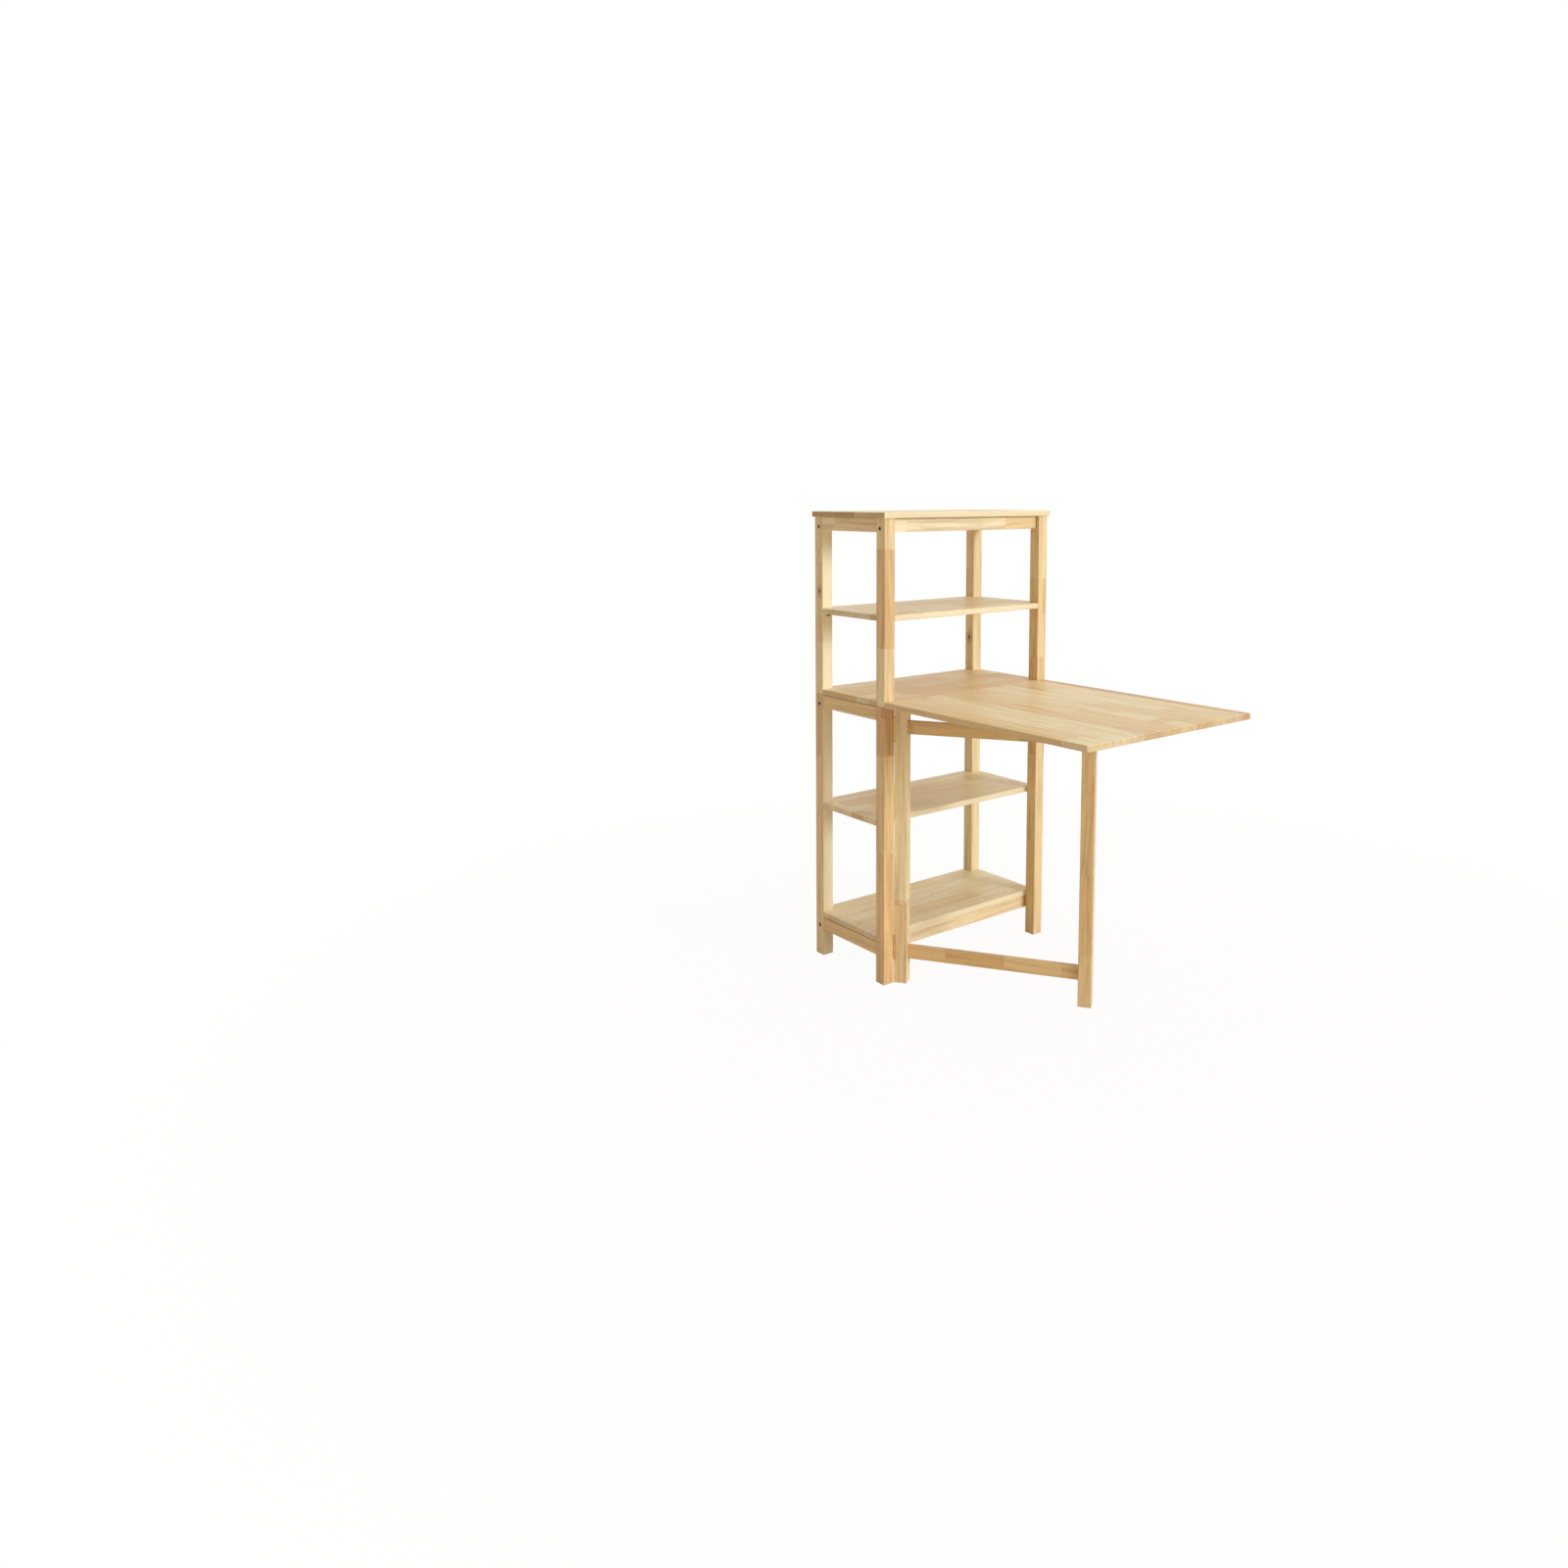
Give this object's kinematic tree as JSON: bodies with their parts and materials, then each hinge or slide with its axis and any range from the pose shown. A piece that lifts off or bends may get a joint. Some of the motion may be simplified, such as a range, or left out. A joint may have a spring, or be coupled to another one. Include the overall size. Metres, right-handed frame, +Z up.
{
  "type": "folding dining table",
  "caption": "Tall open wooden shelf rack with a hinged table leaf at dining height, held up by a swinging gate leg that folds in between the posts.",
  "frame": {"origin": "on the floor, under the middle of the box of the unfolded table", "axes": "+X to the right across the rack, -Y to the front where the leaf points, +Z up"},
  "size_m": [0.6, 0.952, 1.21],
  "materials": {
    "board_wood": "clear satin lacquer",
    "frame_wood": "clear satin lacquer",
    "dowel_wood": "bare",
    "brass": "plated, satin",
    "steel": "zinc plated"
  },
  "bodies": {
    "rack": {"back_left_post": "frame_wood", "back_right_post": "frame_wood", "barrel_nuts": "steel", "board_screws": "steel", "bottom_back_rail": "frame_wood", "bottom_front_rail": "frame_wood", "bottom_left_rail": "frame_wood", "bottom_right_rail": "frame_wood", "bottom_shelf": "board_wood", "frame_bolts": "steel", "front_left_post": "frame_wood", "front_right_post": "frame_wood", "left_leaf_hinge_pin": "brass", "left_leaf_hinge_shelf_plate": "brass", "lower_gate_hinge_pin": "brass", "lower_gate_hinge_post_plate": "brass", "lower_shelf": "board_wood", "middle_leaf_hinge_pin": "brass", "middle_leaf_hinge_shelf_plate": "brass", "post_hinge_screws": "brass", "rail_dowels": "dowel_wood", "right_leaf_hinge_pin": "brass", "right_leaf_hinge_shelf_plate": "brass", "shelf_hinge_screws": "brass", "shelf_pins": "steel", "table_back_rail": "frame_wood", "table_left_rail": "frame_wood", "table_right_rail": "frame_wood", "table_shelf": "board_wood", "top_back_rail": "frame_wood", "top_board": "board_wood", "top_front_rail": "frame_wood", "top_left_rail": "frame_wood", "top_right_rail": "frame_wood", "upper_gate_hinge_pin": "brass", "upper_gate_hinge_post_plate": "brass", "upper_shelf": "board_wood"},
    "leaf": {"leaf_panel": "board_wood", "leaf_hinge_screws": "brass", "left_leaf_hinge_leaf_plate": "brass", "middle_leaf_hinge_leaf_plate": "brass", "right_leaf_hinge_leaf_plate": "brass"},
    "gate": {"gate_stile": "frame_wood", "gate_leg": "frame_wood", "gate_upper_rail": "frame_wood", "gate_lower_rail": "frame_wood", "gate_dowels": "dowel_wood", "gate_hinge_screws": "brass", "lower_gate_hinge_gate_plate": "brass", "upper_gate_hinge_gate_plate": "brass"}
  },
  "joints": [
    {"name": "leaf_lift", "type": "hinge", "parent": "rack", "child": "leaf", "pos_m": [0, 0.18, 0.7168], "axis": [-1, 0, 0], "range_deg": [0, 5]},
    {"name": "gate_swing", "type": "hinge", "parent": "rack", "child": "gate", "pos_m": [-0.2616, 0.181, 0.4], "axis": [0, 0, 1], "range_deg": [-33, 57]}
  ]
}
